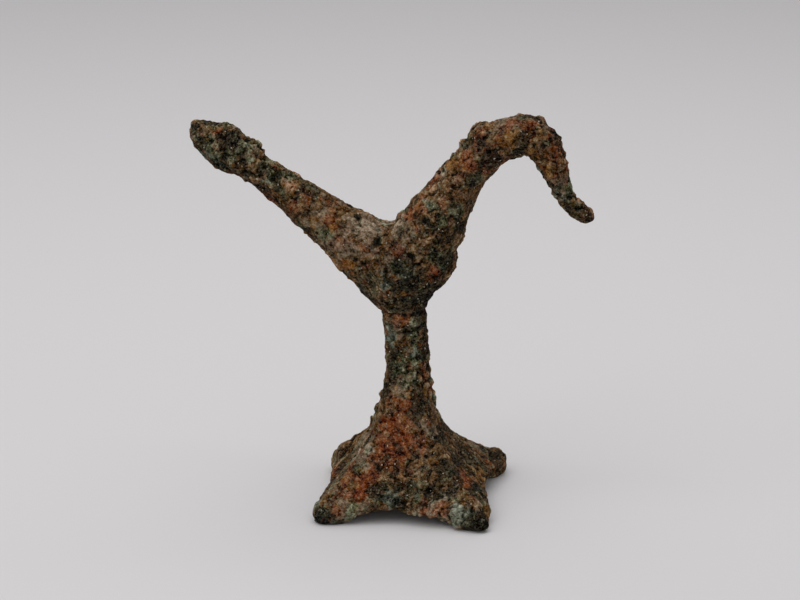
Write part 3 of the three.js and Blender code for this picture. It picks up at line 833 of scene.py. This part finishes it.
patinaLook = {
    # each finish from its dark hollows to its light grains
    "brown": [(0.00, "17140a"), (0.25, "382d16"), (0.50, "63482b"), (0.70, "836446"),
              (0.85, "a0805e"), (1.00, "bca07e")],
    "rust": [(0.00, "2a190e"), (0.30, "56301b"), (0.60, "8a5133"), (0.85, "a56e48"), (1.00, "c19a78")],
    "ember": [(0.00, "2d160b"), (0.35, "67341c"), (0.65, "97502c"), (0.85, "b06e44"), (1.00, "cc9a70")],
    "ochre": [(0.00, "3d2b14"), (0.50, "875d2f"), (1.00, "b98f56")],
    "green": [(0.00, "171b11"), (0.30, "363a29"), (0.60, "66694e"), (0.85, "8d9073"), (1.00, "bec0a1")],
    "teal": [(0.00, "20231e"), (0.35, "5c6255"), (0.60, "838a78"), (0.85, "a9af9b"), (1.00, "cbd1bd")],
    # ash and soot are crust colours that the stains also use for painted light on lit tops and painted
    # shade on undersides
    "ash": [(0.00, "3c3323"), (0.40, "776551"), (0.70, "a08b73"), (1.00, "c9b7a0")],
    "soot": [(0.00, "110f08"), (0.50, "272414"), (1.00, "4c422c")],
    # the tone that the finishes go by: its middle, and how much each thing sways it
    "tone": 0.504,
    "toneBy": {"grain": 0.10, "clod": 0.17, "speck": 0.17, "dust": 0.10,
               "drift": 1.44, "mottle": 0.48, "fine": 1.06, "relief": 0.84},
    # noises: how many clouds to the mm, detail, roughness
    "drift": (0.30, 4.0, 0.62),
    "mottle": (0.75, 3.0, 0.6),
    "fine": (2.2, 4.0, 0.75),
    "pits": (1.3, 3.0, 0.65),
    # how each stain lies: size of its clouds in mm, where it starts, where it is full,
    # how much it covers, and which of the lumps' own numbers it goes by
    "stains": {
        "ash": (3.2, 0.58, 0.76, 0.85, "Green"),
        "green": (2.6, 0.58, 0.75, 0.90, "Blue"),
        "teal": (2.0, 0.60, 0.78, 0.85, "Blue"),
        "rust": (3.0, 0.60, 0.78, 0.85, "Green"),
        "ember": (2.4, 0.66, 0.90, 0.75, "Green"),
        "ochre": (2.2, 0.62, 0.80, 0.80, "Blue"),
        "soot": (2.4, 0.60, 0.76, 0.85, "Red"),
    },
    "stainClouds": (3.0, 0.56),       # detail, roughness
    "stainBy": {"laid": 0.55, "clod": 0.20, "grain": 0.03},   # how much each thing helps it along
    # single flecks, at most one to a grain or speck: colour, share of all, how much it covers
    "fleckOrange": ("9a5a30", 0.014, 0.30),
    "fleckPale": ("b0ab8c", 0.036, 0.33),
    "fleckDark": ("0f0e08", 0.070, 0.35),
    # the finest light and dark: how strong, its share of dust and of fine noise
    "grit": (0.080, 0.55, 0.45),
    # green-black dirt, and in the hollows also painted shade: where it is full, where it ends, and how
    # much it covers
    "dirtAndShade": "100f07",
    "dirtInSeams": (0.0, 0.13, 0.25),
    "dirtAndShadeInHollows": (0.05, 0.44, 0.80),
    "dirtInPits": (0.30, 0.42, 0.55),
    # single specks of dust with a painted glint, a pale painted highlight on specks that are also
    # smoother: colour, from and to which number, how much smoother
    "paintedGlint": ("bfb8a6", 0.996, 0.998, 0.35),
    "roughness": (0.60, 0.88),        # from one grain to another
    "specular": 0.02,
    "grainsPerMm": 1.05,
    "specksPerMm": 2.3,
    "dustPerMm": 4.2,
    "bend": (1.3, 2.0, 0.9),          # what bends the grains: clouds to the mm, detail, how far in mm
    "bumpHeight": 0.00028,            # metres
    "bumpBy": {"seam": 0.25, "fine": 1.4, "speck": 0.25},     # how much each thing raises it
    "bumpSeam": 0.22,                 # how far the seams reach into the grains
}


def plainColour(code):
    # a hex code as the linear colour that the nodes work in
    def part(v):
        v = int(v, 16) / 255
        return v / 12.92 if v < 0.04045 else ((v + 0.055) / 1.055) ** 2.4
    return (part(code[0:2]), part(code[2:4]), part(code[4:6]), 1.0)


class Wiring:
    # adds nodes to one material and links whatever is passed to their sockets
    def __init__(self, tree):
        self.tree = tree

    def add(self, kind, settings=None, **sockets):
        made = self.tree.nodes.new(kind)
        for name, value in (settings or {}).items():
            setattr(made, name, value)
        for name, value in sockets.items():
            self.plug(made.inputs[name.replace("_", " ")], value)
        return made

    def plug(self, socket, value):
        if isinstance(value, bpy.types.NodeSocket):
            self.tree.links.new(value, socket)
        else:
            socket.default_value = value

    def maths(self, operation, a, b=0.0, clamp=False):
        made = self.tree.nodes.new("ShaderNodeMath")
        made.operation, made.use_clamp = operation, clamp
        self.plug(made.inputs[0], a)
        self.plug(made.inputs[1], b)
        return made.outputs[0]

    def sway(self, value, by, weight):
        # higher where the second number is above a half, lower where it is below
        return self.maths("ADD", self.maths("MULTIPLY", self.maths("SUBTRACT", by, 0.5), weight), value)

    def span(self, value, low, high, toLow=0.0, toHigh=1.0):
        made = self.add("ShaderNodeMapRange", {"interpolation_type": "SMOOTHSTEP"})
        for k, v in enumerate((value, low, high, toLow, toHigh)):
            self.plug(made.inputs[k], v)
        return made.outputs[0]

    def ramp(self, value, stops):
        made = self.add("ShaderNodeValToRGB", Fac=value)
        steps = made.color_ramp.elements
        while len(steps) < len(stops):
            steps.new(0.5)
        for step, (where, code) in zip(steps, stops):
            step.position, step.color = where, plainColour(code)
        return made.outputs["Color"]

    def mix(self, share, a, b, blend="MIX"):
        made = self.add("ShaderNodeMix", {"data_type": "RGBA", "blend_type": blend})
        self.plug(made.inputs[0], share)
        self.plug(made.inputs[6], a)
        self.plug(made.inputs[7], b)
        return made.outputs[2]

    def clouds(self, where, perMm, detail, rough):
        made = self.add("ShaderNodeTexNoise", Vector=where, Scale=perMm, Detail=detail, Roughness=rough)
        return made.outputs["Fac"]

    def parts(self, colour):
        return self.add("ShaderNodeSeparateColor", Color=colour).outputs

    def crystals(self, where, perMm):
        # three numbers that everything in one small cell shares
        return self.parts(self.add("ShaderNodeTexVoronoi", Vector=where, Scale=perMm).outputs["Color"])

    def laid(self, name, output="Fac"):
        # what makeCastBird laid on the mesh under that name
        return self.add("ShaderNodeAttribute", {"attribute_name": name}).outputs[output]


def makePatina(look):
    material = bpy.data.materials.new("bronzePatina")
    material.use_nodes = True
    material.node_tree.nodes.clear()
    w = Wiring(material.node_tree)
    inMm = w.add("ShaderNodeVectorMath", {"operation": "SCALE"}, Scale=1 / mm)
    w.plug(inMm.inputs[0], w.add("ShaderNodeTexCoord").outputs["Object"])
    inMm = inMm.outputs[0]
    # the grains' outlines are bent, so that they don't look like cut cells
    perMm, detail, far = look["bend"]
    bend = w.add("ShaderNodeTexNoise", Vector=inMm, Scale=perMm, Detail=detail)
    push = w.add("ShaderNodeVectorMath", {"operation": "MULTIPLY_ADD"})
    w.plug(push.inputs[0], bend.outputs["Color"])
    push.inputs[1].default_value = (far, far, far)
    w.plug(push.inputs[2], inMm)
    bent = push.outputs[0]

    grain = w.crystals(bent, look["grainsPerMm"])
    speck = w.crystals(bent, look["specksPerMm"])
    dust = w.crystals(inMm, look["dustPerMm"])
    clod = w.parts(w.laid("clod", "Color"))
    seam = w.add("ShaderNodeTexVoronoi", {"feature": "DISTANCE_TO_EDGE"}, Vector=bent,
                 Scale=look["grainsPerMm"]).outputs["Distance"]
    fine = w.clouds(inMm, *look["fine"])
    relief = w.laid("relief")

    # one tone number, from the grain, the specks in it, slow and fine noise and the relief
    by = {"grain": grain["Red"], "clod": clod["Red"], "speck": speck["Red"], "dust": dust["Red"],
          "drift": w.clouds(inMm, *look["drift"]), "mottle": w.clouds(bent, *look["mottle"]),
          "fine": fine, "relief": relief}
    tone = look["tone"]
    for name, weight in look["toneBy"].items():
        tone = w.sway(tone, by[name], weight)
    # painted light and shade, with some of the crust's own tone, make the tone paler or darker
    tone = w.maths("ADD", tone, w.laid("paintedLightShadeAndTone"), clamp=True)

    colour = w.ramp(tone, look["brown"])
    # a stain takes hold where the strength laid there and its own cloudy noise are high enough
    stainBy = look["stainBy"]
    detail, rough = look["stainClouds"]
    for kind, (size, low, high, share, channel) in look["stains"].items():
        own = 3.7 * len(kind) + size      # sets each stain's clouds apart from the others'
        cloud = w.add("ShaderNodeTexNoise", {"noise_dimensions": "4D"}, Vector=inMm, W=own,
                      Scale=1 / size, Detail=detail, Roughness=rough).outputs["Fac"]
        reach = w.maths("ADD", w.maths("MULTIPLY", w.laid(kind), stainBy["laid"]), cloud)
        reach = w.sway(reach, clod[channel], stainBy["clod"])
        reach = w.sway(reach, grain["Green"], stainBy["grain"])
        colour = w.mix(w.span(reach, low, high, 0.0, share), colour, w.ramp(tone, look[kind]))

    # single flecks
    for name, number in (("fleckOrange", grain["Blue"]), ("fleckPale", speck["Blue"]),
                         ("fleckDark", speck["Green"])):
        code, common, share = look[name]
        fleck = w.span(number, 0.995 - common, 1.005 - common, 0.0, share)
        colour = w.mix(fleck, colour, plainColour(code))
    # the finest grit is lighter and darker, not another colour
    strong, ofDust, ofFine = look["grit"]
    grit = w.maths("ADD", w.maths("MULTIPLY", dust["Red"], ofDust), w.maths("MULTIPLY", fine, ofFine))
    grit = w.add("ShaderNodeCombineColor", Red=grit, Green=grit, Blue=grit).outputs[0]
    colour = w.mix(strong, colour, grit, "LINEAR_LIGHT")
    # dark seams between grains, dirt in the pits, and dirt with painted shade in the crust's hollows
    inSeams = w.span(seam, *look["dirtInSeams"], 0.0)
    hollowDirtAndShade = w.span(relief, *look["dirtAndShadeInHollows"], 0.0)
    inPits = w.span(w.clouds(bent, *look["pits"]), *look["dirtInPits"], 0.0)
    dirtAndShade = w.maths("MAXIMUM", w.maths("MAXIMUM", inSeams, hollowDirtAndShade), inPits)
    colour = w.mix(dirtAndShade, colour, plainColour(look["dirtAndShade"]))
    # a few single specks get a painted glint: a pale painted highlight colour, and less roughness
    code, low, high, smoother = look["paintedGlint"]
    paintedGlint = w.span(dust["Green"], low, high)
    colour = w.mix(paintedGlint, colour, plainColour(code))

    rough = w.span(grain["Green"], 0.0, 1.0, *look["roughness"])
    rough = w.maths("SUBTRACT", rough, w.maths("MULTIPLY", paintedGlint, smoother))
    bumpBy = look["bumpBy"]
    bySeam = w.maths("MULTIPLY", w.span(seam, 0.0, look["bumpSeam"]), bumpBy["seam"])
    byFine = w.maths("MULTIPLY", fine, bumpBy["fine"])
    bySpeck = w.maths("MULTIPLY", speck["Blue"], bumpBy["speck"])
    tall = w.maths("ADD", bySeam, w.maths("ADD", byFine, bySpeck))
    bump = w.add("ShaderNodeBump", Height=tall, Distance=look["bumpHeight"], Strength=1.0)
    skin = w.add("ShaderNodeBsdfPrincipled", Base_Color=colour, Roughness=rough, Normal=bump.outputs[0])
    skin.inputs["Specular IOR Level"].default_value = look["specular"]
    w.add("ShaderNodeOutputMaterial", Surface=skin.outputs[0])
    return material


patina = makePatina(patinaLook)
print("patina mixed")
figure = makeCastBird(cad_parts["bird_figurine"], patina)
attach(figure, "root")
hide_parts("bird_figurine")

# the ground, the light and the camera, in metres

groundLook = {
    "colour": "d9d7d8",
    "roughness": 0.9,
    "specular": 0.1,
    "width": 5.0,
    "front": -2.5,
    "back": 1.3,             # where it starts to curve up
    "bend": 0.8,             # how wide that curve is
    "bendSteps": 16,
    "rise": 2.2,             # how high it ends
}


def makeGround(look):
    back, bend, steps = look["back"], look["bend"], look["bendSteps"]
    profile = [(look["front"], 0.0), (back, 0.0)]
    for k in range(1, steps + 1):
        turn = math.pi / 2 * k / steps
        profile.append((back + bend * math.sin(turn), bend * (1 - math.cos(turn))))
    profile.append((back + bend, look["rise"]))
    half = look["width"] / 2
    points = [(x, y, z) for y, z in profile for x in (-half, half)]
    faces = [(2 * k, 2 * k + 1, 2 * k + 3, 2 * k + 2) for k in range(len(profile) - 1)]
    mesh = bpy.data.meshes.new("ground")
    mesh.from_pydata(points, [], faces)
    mesh.shade_smooth()
    paper = bpy.data.materials.new("palePaper")
    paper.use_nodes = True
    shader = paper.node_tree.nodes["Principled BSDF"]
    shader.inputs["Base Color"].default_value = plainColour(look["colour"])
    shader.inputs["Roughness"].default_value = look["roughness"]
    shader.inputs["Specular IOR Level"].default_value = look["specular"]
    mesh.materials.append(paper)
    ground = bpy.data.objects.new("ground", mesh)
    scene.collection.objects.link(ground)


lampLook = {  # place, the point it looks at, size in metres, watts
    "key": ((-0.42, -0.36, 0.72), (0.0, 0.0, 0.04), 0.70, 1.98),
    "top": ((0.02, 0.10, 0.56), (0.0, 0.0, 0.02), 0.55, 1.38),
}


def makeLamps(look):
    for name, (place, target, size, power) in look.items():
        light = bpy.data.lights.new(name, "AREA")
        light.shape, light.size, light.energy = "SQUARE", size, power
        lamp = bpy.data.objects.new(name, light)
        lamp.location = place
        lamp.rotation_euler = (Vector(target) - Vector(place)).to_track_quat("-Z", "Y").to_euler()
        scene.collection.objects.link(lamp)


skyLook = {"colour": (1.0, 0.995, 1.0, 1.0), "strength": 0.46}


def makeSky(look):
    world = bpy.data.worlds.new("studio")
    world.use_nodes = True
    sky = world.node_tree.nodes["Background"]
    sky.inputs["Color"].default_value = look["colour"]
    sky.inputs["Strength"].default_value = look["strength"]
    scene.world = world


cameraLook = {
    "place": (0.04560, -0.49927, 0.19937),
    "tilt": 72.5,            # degrees from straight down
    "turn": 5,               # degrees, round the upright axis
    "lens": 120,             # mm
    "sensor": 36,            # mm
    "sees": (0.01, 20),      # metres, from and to
}


def makeCamera(look):
    lens = bpy.data.cameras.new("camera")
    lens.lens, lens.sensor_width = look["lens"], look["sensor"]
    lens.clip_start, lens.clip_end = look["sees"]
    camera = bpy.data.objects.new("camera", lens)
    camera.location = look["place"]
    camera.rotation_euler = (math.radians(look["tilt"]), 0, math.radians(look["turn"]))
    scene.collection.objects.link(camera)
    scene.camera = camera


makeGround(groundLook)
makeLamps(lampLook)
makeSky(skyLook)
makeCamera(cameraLook)
scene.view_settings.view_transform = "Standard"
print("ground, lamps and camera set")
